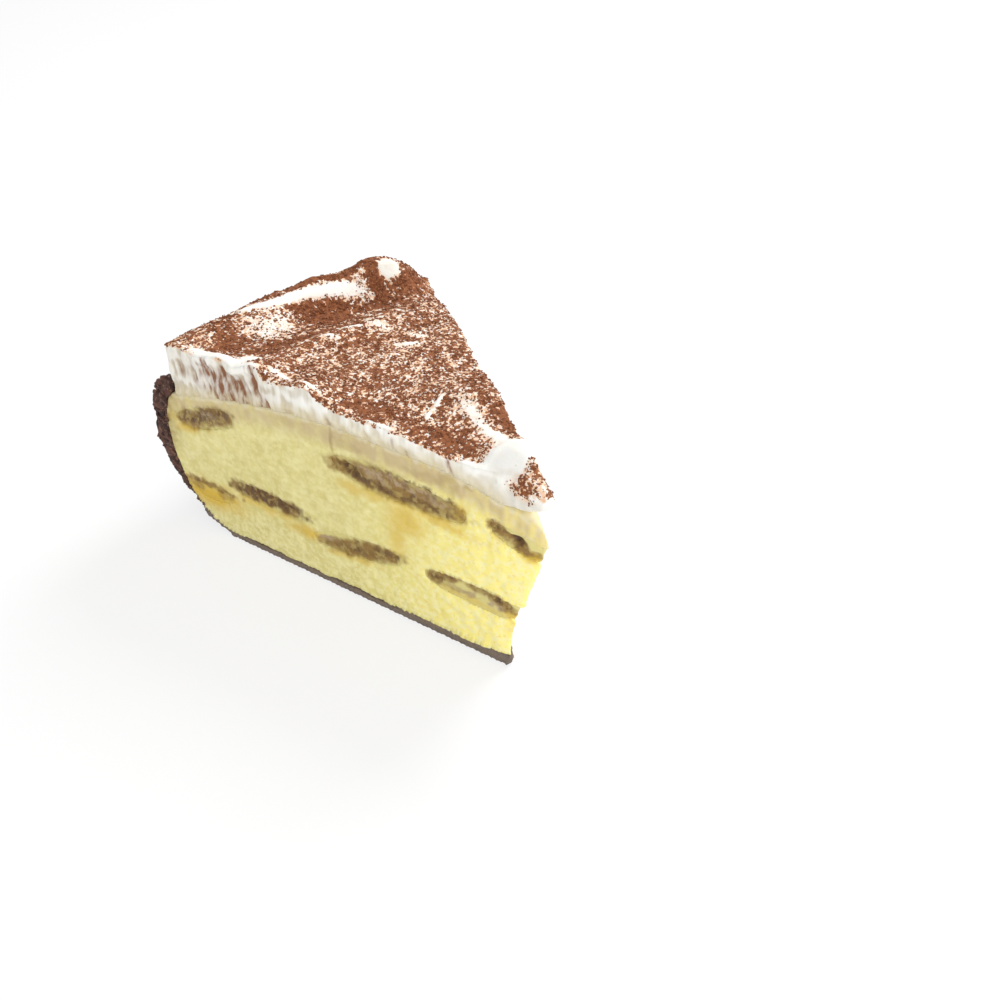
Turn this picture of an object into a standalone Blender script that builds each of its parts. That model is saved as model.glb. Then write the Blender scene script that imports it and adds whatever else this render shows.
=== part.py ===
"""A slice of tiramisu cheesecake, about one ninth of a round cake 26 cm across the cream.

The whole cake is turned about its middle and then cut by a wedge-shaped knife, so every layer meets the
two cuts in the same planes. From the plate up it is a dark crumb crust that rises into a thick side wall,
a pale yellow cheesecake with two rows of coffee-soaked sponge fingers baked into it, and whipped cream
spread in swirls.

Metres, +Z up. The slice's middle line lies along X with its tip at +X, and its base stands on z = 0.
"""

import math

import bmesh
import bpy
from mathutils import Matrix, Vector, noise

# ---- the cake ----
SLICE_ANGLE = math.radians(41)
CAKE_AXIS_X = 0.070  # the cake's middle, which puts the origin under the middle of the slice's box
TURN_STEPS = 126  # facets round the whole cake
FIT_GAP = 0.0003  # between pieces that touch

# ---- the crust: a flat base, a rounded foot and a bulging wall ----
BASE_FLAT_RADIUS = 0.112
INNER_FLAT_RADIUS = 0.1155
FOOT_FULLNESS = 1.15  # exponent of the foot's outline: 1 is an ellipse, more is leaner
BELLY_HEIGHT = 0.034  # where the wall bulges most
CRUST_BELLY_RADIUS = 0.1435
CRUST_TOP_RADIUS = 0.132
CRUST_TOP_HEIGHT = 0.054
CRUST_BASE_THICKNESS = 0.0018
CRUST_TIP_THICKNESS = 0.0042  # the base is pressed thicker towards the cake's middle
CRUST_THICKENING_END = 0.052
CRUST_BELLY_THICKNESS = 0.007
CRUST_MOUTH_RADIUS = 0.1307  # the wall's inner edge, against the cream
CRUST_MOUTH_HEIGHT = 0.0500
FLOOR_RADII = [0.0, 0.015, 0.030, 0.042, 0.049, CRUST_THICKENING_END]

# ---- the cheesecake: a low dome that falls towards the rim and, more sharply, towards the tip ----
CHEESE_HEIGHT = 0.060
RIM_FALL, RIM_FALL_START = 0.0115, 0.062
TIP_FALL, TIP_FALL_END = 0.007, 0.032

# ---- the whipped cream ----
CREAM_RADIUS = 0.130
CREAM_LEVEL = 0.0656
CREAM_CELL = 0.0028
CREAM_RIM_SWELLS = [  # (rise, radius, reach, angle from the middle line in degrees, reach in degrees)
    (0.0010, 0.1255, 0.0058, 0.0, 90.0),  # the ridge round the rim
    (0.0034, 0.1255, 0.0058, 4.5, 6.0),  # its shoulder
    (0.0062, 0.1255, 0.0058, 12.6, 4.6),  # the mound it ends in
    (-0.0046, 0.1125, 0.0078, 5.5, 12.0),  # the hollow inside it
    (0.0019, 0.0967, 0.0036, -3.6, 10.0),  # the step of a spatula stroke
]
CREAM_SWELLS = [  # (rise, distance along the near cut, depth behind it, reach along, reach in depth)
    (0.0034, 0.0780, 0.0, 0.0070, 0.0080),  # three lips over the near cut
    (0.0052, 0.0945, 0.0, 0.0055, 0.0075),
    (0.0026, 0.1090, 0.0, 0.0070, 0.0060),
    (-0.0034, 0.0120, 0.0, 0.0170, 0.0042),  # the near cut's low shoulder by the tip
    (0.0035, 0.0340, 0.024, 0.0160, 0.0100),  # the crest on the far cut
    (0.0046, 0.0089, 0.0076, 0.0108, 0.0108),  # the peak at the tip
]
FAR_SHOULDER_DROP, FAR_SHOULDER_REACH = 0.0062, 0.0046  # where the rim's mound rounds off into the far cut
FAR_SHOULDER_RADIUS, FAR_SHOULDER_SPAN = 0.128, 0.022

# ---- the knife: its edge leans, so the tip overhangs its own foot. At each height, the distance along the
# near cut where the two cuts would meet, and how far the tip stands out from there (the cream's tip is pushed
# forward) or is blunt ----
KNIFE_LEVELS = [
    (-0.005, 0.0096, -0.0008),
    (0.014, 0.0076, -0.0008),
    (0.047, -0.0028, -0.0008),
    (0.0530, -0.0006, -0.0008),
    (0.0565, 0.0, 0.0030),
    (0.095, 0.0, 0.0034),
]
KNIFE_REACH = 0.185
TIP_SPREAD = 0.0045  # along each cut, where the tip's own shape begins

# ---- the sponge fingers, as each shows in the near cut: (distance from the cake's middle, height, width,
# thickness, tilt in degrees, positive where the end towards the rim is higher) ----
SPONGE_FINGERS = {
    "finger_low_1": (0.1213, 0.0152, 0.0160, 0.0060, -3),
    "finger_low_2": (0.0973, 0.0215, 0.0272, 0.0062, 2),
    "finger_low_3": (0.0630, 0.0187, 0.0340, 0.0072, -9),
    "finger_low_4": (0.0185, 0.0208, 0.0400, 0.0070, 1),
    "finger_up_1": (0.1195, 0.0436, 0.0265, 0.0072, -19),
    "finger_up_2": (0.0470, 0.0472, 0.0460, 0.0094, 1),
    "finger_up_3": (0.0045, 0.0453, 0.0240, 0.0064, 13),
}
FINGER_LENGTH = 0.118
FINGER_ROUNDNESS = 2.5  # exponent of the section's outline: 2 is an ellipse, more is squarer
FINGER_COVER = 0.0012  # cheesecake left between a finger's end and the crust

NEAR_CUT = Vector((-math.cos(SLICE_ANGLE / 2), -math.sin(SLICE_ANGLE / 2), 0))
FAR_CUT = Vector((-math.cos(SLICE_ANGLE / 2), math.sin(SLICE_ANGLE / 2), 0))
INTO_SLICE = Vector((-math.sin(SLICE_ANGLE / 2), math.cos(SLICE_ANGLE / 2), 0))
CAKE_AXIS = Vector((CAKE_AXIS_X, 0, 0))


def along_near_cut(distance, height, depth=0.0):
    """A point from its distance to the cake's middle along the near cut, its height and its depth behind."""
    return CAKE_AXIS + NEAR_CUT * distance + INTO_SLICE * depth + Vector((0, 0, height))


def clear_scene():
    for old in list(bpy.data.objects):
        bpy.data.objects.remove(old)


def food_material(name, colour, roughness):
    made = bpy.data.materials.new(name)
    made.use_nodes = True
    shader = made.node_tree.nodes["Principled BSDF"]
    shader.inputs["Base Color"].default_value = (*colour, 1)
    shader.inputs["Roughness"].default_value = roughness
    shader.inputs["Metallic"].default_value = 0
    return made


def solid(name, bm, material=None):
    """An object from a bmesh, with its faces pointing out. One without a material is only a cutter."""
    bmesh.ops.remove_doubles(bm, verts=bm.verts, dist=0.000001)
    bmesh.ops.recalc_face_normals(bm, faces=bm.faces)
    mesh = bpy.data.meshes.new(name)
    bm.to_mesh(mesh)
    bm.free()
    made = bpy.data.objects.new(name, mesh)
    bpy.context.scene.collection.objects.link(made)
    if material:
        mesh.materials.append(material)
        mesh.shade_smooth()
        mesh.set_sharp_from_angle(angle=math.radians(30))
    else:
        made.hide_render = True
        made.display_type = "WIRE"
    return made


def trim(target, cutter, operation):
    cut = target.modifiers.new(f"{operation.lower()}_{cutter.name}", "BOOLEAN")
    cut.object = cutter
    cut.operation = operation
    cut.solver = "EXACT"


def turned(name, profile, material=None):
    """The round solid that a closed (radius, height) profile makes about the cake's axis, poles included."""
    bm = bmesh.new()
    ring = [bm.verts.new(CAKE_AXIS + Vector((-radius, 0, height))) for radius, height in profile]
    sides = [bm.edges.new(pair) for pair in zip(ring, ring[1:])]
    bmesh.ops.spin(
        bm,
        geom=ring + sides,
        cent=CAKE_AXIS,
        axis=(0, 0, 1),
        angle=math.tau,
        steps=TURN_STEPS,
        use_merge=True,
    )
    return solid(name, bm, material)


def wall_curve(flat_radius, belly_radius, floor_height, top_radius, top_height, fullness=1.0):
    """The wall's section: a quarter ellipse from the flat base to the belly and another up to the top."""
    foot_steps, mouth_steps = 9, 6
    points = []
    for step in range(foot_steps + 1):
        turn = math.radians(90) * step / foot_steps
        radius = flat_radius + (belly_radius - flat_radius) * math.sin(turn) ** fullness
        points.append((radius, BELLY_HEIGHT - (BELLY_HEIGHT - floor_height) * math.cos(turn)))
    for step in range(1, mouth_steps + 1):
        turn = math.radians(90) * step / mouth_steps
        radius = top_radius + (belly_radius - top_radius) * math.cos(turn)
        points.append((radius, BELLY_HEIGHT + (top_height - BELLY_HEIGHT) * math.sin(turn)))
    return points


def crust_floor(radius):
    """Height of the base's upper side, at a distance from the cake's middle."""
    inwards = max(0.0, 1 - radius / CRUST_THICKENING_END)
    return CRUST_BASE_THICKNESS + (CRUST_TIP_THICKNESS - CRUST_BASE_THICKNESS) * math.sqrt(inwards)


def cheese_top(radius):
    """Height of the cheesecake's upper surface, at a distance from the cake's middle."""
    to_rim = max(0.0, (radius - RIM_FALL_START) / (CREAM_RADIUS - RIM_FALL_START))
    to_tip = max(0.0, 1 - radius / TIP_FALL_END)
    return CHEESE_HEIGHT - RIM_FALL * to_rim**1.7 - TIP_FALL * to_tip**1.4


def bell(offset, width):
    """1 in the middle, falling smoothly to nothing a few widths away."""
    return math.exp(-((offset / width) ** 2))


def cream_top(point):
    """Height of the spread cream: its level plus every swell, hollow and spatula mark."""
    flat = point - CAKE_AXIS
    radius = math.hypot(flat.x, flat.y)
    angle = math.degrees(math.atan2(flat.y, max(-flat.x, FIT_GAP)))
    along = flat.dot(NEAR_CUT)
    depth = flat.dot(INTO_SLICE)
    to_far_cut = max(0.0, along * math.sin(SLICE_ANGLE) - depth * math.cos(SLICE_ANGLE))

    height = CREAM_LEVEL + 0.0009 * noise.noise(Vector((flat.x * 75, flat.y * 45, 3.1)))
    for rise, at_radius, reach, at_angle, angle_reach in CREAM_RIM_SWELLS:
        height += rise * bell(radius - at_radius, reach) * bell(angle - at_angle, angle_reach)
    for rise, at_distance, at_depth, reach, depth_reach in CREAM_SWELLS:
        height += rise * bell(along - at_distance, reach) * bell(depth - at_depth, depth_reach)
    rounding = bell(to_far_cut, FAR_SHOULDER_REACH) * bell(radius - FAR_SHOULDER_RADIUS, FAR_SHOULDER_SPAN)
    return height - FAR_SHOULDER_DROP * rounding


def knife():
    """The wedge between the two cuts: the same outline at each level, moved along the near cut."""
    bm = bmesh.new()
    levels = []
    for height, edge, nose in KNIFE_LEVELS:
        tip = along_near_cut(edge, height)
        outline = [
            tip + FAR_CUT * KNIFE_REACH,
            tip + FAR_CUT * TIP_SPREAD,
            tip + Vector((nose, 0, 0)),
            tip + NEAR_CUT * TIP_SPREAD,
            tip + NEAR_CUT * KNIFE_REACH,
        ]
        levels.append([bm.verts.new(corner) for corner in outline])
    for lower, upper in zip(levels, levels[1:]):
        for side in range(len(lower)):
            after = (side + 1) % len(lower)
            bm.faces.new((lower[side], lower[after], upper[after], upper[side]))
    bm.faces.new(levels[0])
    bm.faces.new(levels[-1])
    return solid("knife", bm)


def crust(cutter):
    outer = wall_curve(
        BASE_FLAT_RADIUS,
        CRUST_BELLY_RADIUS,
        0.0,
        CRUST_TOP_RADIUS,
        CRUST_TOP_HEIGHT,
        FOOT_FULLNESS,
    )
    inner = wall_curve(
        INNER_FLAT_RADIUS,
        CRUST_BELLY_RADIUS - CRUST_BELLY_THICKNESS,
        CRUST_BASE_THICKNESS,
        CRUST_MOUTH_RADIUS,
        CRUST_MOUTH_HEIGHT,
    )
    floor = [(radius, crust_floor(radius)) for radius in reversed(FLOOR_RADII)]
    profile = [(0.0, 0.0), *outer, *reversed(inner), *floor]
    made = turned("crust", profile, food_material("crumb_crust", (0.085, 0.040, 0.034), 0.85))
    trim(made, cutter, "INTERSECT")


def cheese_profile(inset=0.0):
    """The cheesecake's section, or, with an inset, the smaller section that holds the sponge fingers."""
    margin = FIT_GAP + inset
    wall = wall_curve(
        INNER_FLAT_RADIUS - margin,
        CRUST_BELLY_RADIUS - CRUST_BELLY_THICKNESS - margin,
        CRUST_BASE_THICKNESS + margin,
        CREAM_RADIUS - inset,
        cheese_top(CREAM_RADIUS) - inset,
    )
    radii = [0.0, 0.004, 0.009, 0.015, 0.022, 0.032, 0.047, 0.062]
    radii += [RIM_FALL_START + (CREAM_RADIUS - RIM_FALL_START) * step / 9 for step in range(1, 9)]
    top = [(radius, cheese_top(radius) - inset) for radius in reversed(radii)]
    floor = [(radius, crust_floor(radius) + margin) for radius in FLOOR_RADII]
    return [*floor, *wall, *top]


def rounded(side):
    """The finger outline's reach for a circle's sine or cosine."""
    return math.copysign(abs(side) ** (2 / FINGER_ROUNDNESS), side)


def finger_bar(name, section, grow, material=None):
    """A bar that runs straight back from the near cut, its section grown all round."""
    distance, height, width, thickness, tilt = section
    corners = 18
    start = -0.004  # well in front of the near cut, which trims the bar
    bm = bmesh.new()
    lean = math.radians(tilt)
    outline = []
    for corner in range(corners):
        turn = math.tau * corner / corners
        across = rounded(math.cos(turn)) * (width / 2 + grow)
        up = rounded(math.sin(turn)) * (thickness / 2 + grow)
        outline.append(
            bm.verts.new(
                along_near_cut(
                    distance + across * math.cos(lean) - up * math.sin(lean),
                    height + across * math.sin(lean) + up * math.cos(lean),
                    start,
                )
            )
        )
    end = bm.faces.new(outline)
    pushed = bmesh.ops.extrude_face_region(bm, geom=[end])
    far_end = [piece for piece in pushed["geom"] if isinstance(piece, bmesh.types.BMVert)]
    bmesh.ops.translate(bm, verts=far_end, vec=INTO_SLICE * FINGER_LENGTH)
    return solid(name, bm, material)


def sponge_fingers(cutter):
    """The fingers, kept inside the cheesecake, and the pockets they lie in, each one gap larger all round."""
    sponge = food_material("soaked_sponge", (0.23, 0.13, 0.055), 0.6)
    keep_in = turned("finger_envelope", cheese_profile(FINGER_COVER))
    pocket_envelope = turned("pocket_envelope", cheese_profile(FINGER_COVER - FIT_GAP))
    pockets = []
    for name, section in SPONGE_FINGERS.items():
        finger = finger_bar(name, section, 0.0, sponge)
        trim(finger, keep_in, "INTERSECT")
        trim(finger, cutter, "INTERSECT")
        pocket = finger_bar(f"pocket_{name}", section, FIT_GAP)
        trim(pocket, pocket_envelope, "INTERSECT")
        pockets.append(pocket)
    return pockets


def cheesecake(cutter, pockets):
    made = turned("cheesecake", cheese_profile(), food_material("baked_cheese", (0.72, 0.62, 0.27), 0.55))
    trim(made, cutter, "INTERSECT")
    for pocket in pockets:
        trim(made, pocket, "DIFFERENCE")


def whipped_cream(cutter):
    """Square cells whose underside follows the cheesecake and whose top follows the spread cream."""
    margin = 2 * CREAM_CELL
    half_width = CREAM_RADIUS * math.sin(SLICE_ANGLE / 2) + margin
    length = CREAM_RADIUS + 2 * margin
    bm = bmesh.new()
    bmesh.ops.create_grid(
        bm,
        x_segments=round(length / CREAM_CELL),
        y_segments=round(2 * half_width / CREAM_CELL),
        size=1,
        matrix=Matrix.Translation(CAKE_AXIS + Vector((margin - length / 2, 0, 0)))
        @ Matrix.Diagonal((length / 2, half_width, 1, 1)),
    )
    pushed = bmesh.ops.extrude_face_region(bm, geom=list(bm.faces))
    upper = {piece for piece in pushed["geom"] if isinstance(piece, bmesh.types.BMVert)}
    for vert in bm.verts:
        if vert in upper:
            vert.co.z = cream_top(vert.co)
        else:
            vert.co.z = cheese_top((vert.co - CAKE_AXIS).to_2d().length) + FIT_GAP
    made = solid("whipped_cream", bm, food_material("whipped_cream", (0.86, 0.85, 0.78), 0.6))
    low, high = 0.03, 0.09
    rim = turned("cream_rim", [(0.0, low), (CREAM_RADIUS, low), (CREAM_RADIUS, high), (0.0, high)])
    trim(made, rim, "INTERSECT")
    trim(made, cutter, "INTERSECT")


clear_scene()
slice_knife = knife()
crust(slice_knife)
cheesecake(slice_knife, sponge_fingers(slice_knife))
whipped_cream(slice_knife)
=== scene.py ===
"""A slice of tiramisu cheesecake: its looks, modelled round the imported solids.

Metres, +Z up. The slice's middle line lies along X, its tip at +X. A place on a cut is its distance from the
cake's middle along the cut, and its height. The top's places are X and Y measured from the cake's middle.
"""

import math

import bpy
import numpy as np
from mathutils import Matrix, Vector, noise


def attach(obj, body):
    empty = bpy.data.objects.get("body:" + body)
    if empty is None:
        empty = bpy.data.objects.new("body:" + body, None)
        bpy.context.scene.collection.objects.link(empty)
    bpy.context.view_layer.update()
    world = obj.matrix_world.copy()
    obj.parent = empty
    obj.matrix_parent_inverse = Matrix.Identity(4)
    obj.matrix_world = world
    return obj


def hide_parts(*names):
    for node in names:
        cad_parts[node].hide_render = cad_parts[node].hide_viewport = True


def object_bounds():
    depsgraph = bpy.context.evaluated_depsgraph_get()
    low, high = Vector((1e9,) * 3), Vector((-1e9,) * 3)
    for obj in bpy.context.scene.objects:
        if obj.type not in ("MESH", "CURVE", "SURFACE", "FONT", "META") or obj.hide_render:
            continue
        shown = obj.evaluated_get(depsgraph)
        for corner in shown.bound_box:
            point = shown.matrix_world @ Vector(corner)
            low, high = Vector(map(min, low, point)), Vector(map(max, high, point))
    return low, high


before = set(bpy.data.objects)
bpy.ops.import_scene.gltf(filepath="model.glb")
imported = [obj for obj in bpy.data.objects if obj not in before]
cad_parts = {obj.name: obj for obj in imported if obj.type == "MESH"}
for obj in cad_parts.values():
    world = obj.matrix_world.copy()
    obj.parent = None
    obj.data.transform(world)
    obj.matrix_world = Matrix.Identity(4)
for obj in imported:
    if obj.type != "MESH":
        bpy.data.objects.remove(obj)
cad_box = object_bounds()

# ---- Crumb crust ----
# Dark chocolate biscuit crumbs, bound with butter and pressed into the tin by hand: a thin base and a thick side
# wall. The knife leaves the wall's cut rough, and single crumbs stand out all over its outside.
MM = 0.001
CAKE_MIDDLE = np.array([70.0 * MM, 0, 0])
HALF_ANGLE = math.radians(20.5)
ALONG_NEAR = np.array([-math.cos(HALF_ANGLE), -math.sin(HALF_ANGLE), 0])
ALONG_FAR = np.array([-math.cos(HALF_ANGLE), math.sin(HALF_ANGLE), 0])
INTO_NEAR = np.array([-math.sin(HALF_ANGLE), math.cos(HALF_ANGLE), 0])
INTO_FAR = np.array([-math.sin(HALF_ANGLE), -math.cos(HALF_ANGLE), 0])
KNIFE_HEIGHTS = np.array([-5, 14, 47, 53, 56.5, 95]) * MM
KNIFE_EDGES = np.array([9.6, 7.6, -2.8, -0.6, 0, 0]) * MM


def copy_of(node, name):
    """A copy of a CAD node's mesh, its loose triangles welded together."""
    bpy.ops.object.select_all(action="DESELECT")
    piece = bpy.data.objects.new(name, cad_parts[node].data.copy())
    bpy.context.scene.collection.objects.link(piece)
    piece.select_set(True)
    bpy.context.view_layer.objects.active = piece
    bpy.ops.object.mode_set(mode="EDIT")
    bpy.ops.mesh.select_all(action="SELECT")
    bpy.ops.mesh.remove_doubles(threshold=0.001 * MM)
    bpy.ops.object.mode_set(mode="OBJECT")
    return piece


def knead(piece, cell, softness):
    """Even cells all over, fine enough to shape, with the edges rounded off."""
    cells = piece.modifiers.new("cells", "REMESH")
    cells.mode = "VOXEL"
    cells.voxel_size = cell
    bpy.ops.object.modifier_apply(modifier=cells.name)
    soft = piece.modifiers.new("soft", "SMOOTH")
    soft.factor = 0.5
    soft.iterations = softness
    bpy.ops.object.modifier_apply(modifier=soft.name)


def smooth_places(piece, weights, times):
    """Smooths only some places, as strongly as their weights say."""
    places = piece.vertex_groups.new(name="smoothed")
    for index in np.flatnonzero(weights > 0.01):
        places.add([int(index)], float(weights[index]), "REPLACE")
    soft = piece.modifiers.new("smoothed", "SMOOTH")
    soft.vertex_group = places.name
    soft.iterations = times
    bpy.ops.object.modifier_apply(modifier=soft.name)
    piece.vertex_groups.clear()


def thin_out(piece, hidden, share):
    """Fewer cells where nothing shows, so that the cells can be fine where it does."""
    bpy.ops.object.mode_set(mode="EDIT")
    bpy.ops.mesh.select_all(action="DESELECT")
    bpy.ops.object.mode_set(mode="OBJECT")
    mesh = piece.data
    mesh.vertices.foreach_set("select", hidden)
    edge_ends = np.empty(len(mesh.edges) * 2, int)
    mesh.edges.foreach_get("vertices", edge_ends)
    mesh.edges.foreach_set("select", hidden[edge_ends].reshape(-1, 2).all(axis=1))
    mesh.polygons.foreach_set("select", np.array([hidden[list(f.vertices)].all() for f in mesh.polygons]))
    bpy.ops.object.mode_set(mode="EDIT")
    bpy.ops.mesh.select_mode(type="FACE")
    bpy.ops.mesh.decimate(ratio=share)
    bpy.ops.mesh.select_all(action="DESELECT")
    bpy.ops.object.mode_set(mode="OBJECT")


def points_of(piece):
    points = np.empty(len(piece.data.vertices) * 3)
    piece.data.vertices.foreach_get("co", points)
    return points.reshape(-1, 3)


def normals_of(piece):
    normals = np.empty(len(piece.data.vertices) * 3)
    piece.data.vertex_normals.foreach_get("vector", normals)
    return normals.reshape(-1, 3)


def inside_cad(points):
    """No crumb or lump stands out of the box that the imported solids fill."""
    return np.clip(points, np.array(cad_box[0]), np.array(cad_box[1]))


def move_to(piece, points):
    points = inside_cad(points)
    piece.data.vertices.foreach_set("co", points.ravel())
    piece.data.update()


def mark(piece, name, amounts):
    """Keeps an amount at each point of the mesh, which the finish can read."""
    layer = piece.data.attributes.new(name, "FLOAT", "POINT")
    layer.data.foreach_set("value", np.ascontiguousarray(amounts, dtype=np.float32))


def cut_places(points):
    """Distance along the near cut and along the far cut, and depth behind each of them."""
    flat = points - CAKE_MIDDLE
    edge = np.interp(points[:, 2], KNIFE_HEIGHTS, KNIFE_EDGES)
    behind_far = (flat - edge[:, None] * ALONG_NEAR) @ INTO_FAR
    return flat @ ALONG_NEAR, flat @ ALONG_FAR, flat @ INTO_NEAR, behind_far


def into_slice(behind_near, behind_far):
    """The way from the nearer cut straight into the slice, at each point."""
    return np.where((behind_near < behind_far)[:, None], INTO_NEAR, INTO_FAR)


def distance_out(points):
    """Distance from the cake's middle, seen from above."""
    return np.hypot(*(points - CAKE_MIDDLE)[:, :2].T)


def lumps(points, size, seed=0.0):
    """Soft unevenness from -1 to 1, about `size` across."""
    return np.array([noise.noise(p) for p in points / size + seed])


def crumbs(points, size, seed=0.0):
    """How far each point stands up on a crumb, from 0 between crumbs to 1, and a shade for each crumb."""
    stand, shade = np.empty(len(points)), np.empty(len(points))
    for i, p in enumerate(points / size + seed):
        distances, middles = noise.voronoi(p)
        stand[i] = math.sqrt(max(0.0, 1 - (distances[0] / 0.8) ** 2))
        shade[i] = noise.cell(middles[0] * 37.7)
    return stand, (shade + 1) / 2


def bell(offset, reach):
    """1 in the middle, falling smoothly to 0 a few reaches away."""
    return np.exp(-((offset / reach) ** 2))


def slope(value, start, end):
    """0 before start, 1 after end, smooth between them."""
    t = np.clip((value - start) / (end - start), 0, 1)
    return t * t * (3 - 2 * t)


class Finish:
    """A food's material, built up from patterns and colours on one Principled shader."""

    def __init__(self, name, roughness):
        self.material = bpy.data.materials.new(name)
        self.material.use_nodes = True
        self.tree = self.material.node_tree
        self.shader = self.tree.nodes["Principled BSDF"]
        self.shader.inputs["Roughness"].default_value = roughness
        self.shader.inputs["IOR"].default_value = 1.4
        self.place = self.tree.nodes.new("ShaderNodeTexCoord").outputs["Object"]

    def fill(self, socket, value):
        """Links a pattern to a socket, or sets a plain number or colour there."""
        if isinstance(value, bpy.types.NodeSocket):
            self.tree.links.new(value, socket)
        elif isinstance(value, tuple) and len(value) == 3 and socket.type == "RGBA":
            socket.default_value = (*value, 1)
        else:
            socket.default_value = value

    def marked(self, name):
        """An amount that the mesh keeps at its points."""
        layer = self.tree.nodes.new("ShaderNodeAttribute")
        layer.attribute_name = name
        return layer.outputs["Fac"]

    def speckle(self, size, detail=2.0, stretch=(1, 1, 1)):
        """A cloudy pattern from 0 to 1, its patches about `size` across."""
        spread = self.tree.nodes.new("ShaderNodeMapping")
        spread.inputs["Scale"].default_value = stretch
        self.fill(spread.inputs["Vector"], self.place)
        cloud = self.tree.nodes.new("ShaderNodeTexNoise")
        self.fill(cloud.inputs["Vector"], spread.outputs["Vector"])
        cloud.inputs["Scale"].default_value = 1 / size
        cloud.inputs["Detail"].default_value = detail
        cloud.inputs["Roughness"].default_value = 0.55
        return cloud.outputs["Fac"]

    def sum(self, operation, first, second, third=0.0):
        """One step of arithmetic on patterns or numbers."""
        step = self.tree.nodes.new("ShaderNodeMath")
        step.operation = operation
        for socket, value in zip(step.inputs, (first, second, third)):
            self.fill(socket, value)
        return step.outputs["Value"]

    def contrast(self, value, start, end, low=0.0, high=1.0):
        """Stretches a pattern so that start becomes low and end becomes high."""
        stretch = self.tree.nodes.new("ShaderNodeMapRange")
        stretch.interpolation_type = "SMOOTHSTEP"
        for name, number in (("From Min", start), ("From Max", end), ("To Min", low), ("To Max", high)):
            self.fill(stretch.inputs[name], number)
        self.fill(stretch.inputs["Value"], value)
        return stretch.outputs["Result"]

    def blend(self, amount, first, second):
        """The first colour where the amount is 0 and the second where it is 1."""
        mixer = self.tree.nodes.new("ShaderNodeMix")
        mixer.data_type = "RGBA"
        self.fill(mixer.inputs["Factor"], amount)
        self.fill(mixer.inputs[6], first)
        self.fill(mixer.inputs[7], second)
        return mixer.outputs[2]

    def colour(self, value):
        self.fill(self.shader.inputs["Base Color"], value)

    def roughness(self, value):
        self.fill(self.shader.inputs["Roughness"], value)

    def bump(self, pattern, depth, strength=0.5):
        raised = self.tree.nodes.new("ShaderNodeBump")
        raised.inputs["Distance"].default_value = depth
        raised.inputs["Strength"].default_value = strength
        self.fill(raised.inputs["Height"], pattern)
        self.fill(self.shader.inputs["Normal"], raised.outputs["Normal"])

    def glow(self, weight, reach):
        """A little light that passes through soft food."""
        self.shader.inputs["Subsurface Weight"].default_value = weight
        self.shader.inputs["Subsurface Scale"].default_value = reach
        self.shader.inputs["Subsurface Radius"].default_value = (1.0, 0.75, 0.4)


def wear(piece, finish):
    piece.data.materials.clear()
    piece.data.materials.append(finish.material)
    bpy.ops.object.select_all(action="DESELECT")
    piece.select_set(True)
    bpy.context.view_layer.objects.active = piece
    bpy.ops.object.shade_smooth()


CRUST_CELL = 0.6 * MM
BASE_CRUST_TOP = 5 * MM
BIG_CRUMB = 3.1 * MM
SMALL_CRUMB = 1.4 * MM
CRUMB_DARK = (0.040, 0.017, 0.013)
CRUMB_MIDDLE = (0.108, 0.047, 0.033)
CRUMB_LIGHT = (0.250, 0.130, 0.080)
CRUMB_GAP_SHADE = (0.014, 0.006, 0.005)
CRUMB_LOW_GREY = (0.200, 0.160, 0.130)

crust = copy_of("crust", "crumb_crust")
knead(crust, CRUST_CELL, 2)
points = points_of(crust)
radius = distance_out(points)
depth = np.minimum(*cut_places(points)[2:])
inner = 136.5 * MM - 16 * MM * slope(-points[:, 2], -30 * MM, -6 * MM)
thin_out(crust, (depth > 4 * MM) & (radius < inner) & (points[:, 2] < 46 * MM), 0.06)

points, normals = points_of(crust), normals_of(crust)
along_near, _, behind_near, behind_far = cut_places(points)
depth = np.minimum(behind_near, behind_far)
height = points[:, 2]
flat = points - CAKE_MIDDLE
radius = np.hypot(flat[:, 0], flat[:, 1])
faces_out = (flat[:, 0] * normals[:, 0] + flat[:, 1] * normals[:, 1]) / radius
coarse, shade = crumbs(points, BIG_CRUMB)
fine, fine_shade = crumbs(points, SMALL_CRUMB, 4.0)
rise = (1.15 * coarse + 0.35 * fine - 1.45) * MM + 0.7 * MM * lumps(points, 8 * MM, 2.0)
rise *= 0.35 + 0.65 * slope(height, 1.5 * MM, BASE_CRUST_TOP)
# The wall is pinched in under its rim, and its foot is tucked under.
rise -= 1.9 * MM * bell(height - 45 * MM, 6 * MM) * slope(faces_out, 0.2, 0.8)
foot = slope(-height, -18.5 * MM, -15.5 * MM) * slope(height, 3 * MM, 8 * MM) * slope(-depth, -22 * MM, -6 * MM)
rise -= 0.9 * MM * foot * slope(along_near, 126 * MM, 132 * MM) * slope(faces_out, 0.2, 0.8)
# The base stands a little proud of the cuts and the foot of the wall a little behind them.
cut_shift = slope(-depth, -1.6 * MM, -0.3 * MM) * (0.4 - 1.0 * slope(-height, -7 * MM, -5 * MM))
cut_shift *= slope(-height, -20 * MM, -14 * MM)
inner_lumps = 0.4 * MM + 2.0 * MM * np.maximum(lumps(points, 3.0 * MM, 6.0), -0.1)
rise = np.where(faces_out < -0.3, inner_lumps, rise)
underside = (normals[:, 2] < -0.6) & (height < 0.8 * MM)
rise[underside] = 0
points = points + normals * rise[:, None]
points = points + into_slice(behind_near, behind_far) * (MM * cut_shift)[:, None]
points[:, 2] = np.maximum(points[:, 2], 0)
points[underside, 2] = 0
move_to(crust, points)
mark(crust, "stand", 0.6 * coarse + 0.4 * fine)
mark(crust, "shade", 0.55 * shade + 0.45 * fine_shade)
# Greyer and paler low down on the cuts.
mark(crust, "greyed_low", slope(-height, -15 * MM, -4 * MM) * slope(-depth, -2 * MM, -0.5 * MM))

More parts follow.
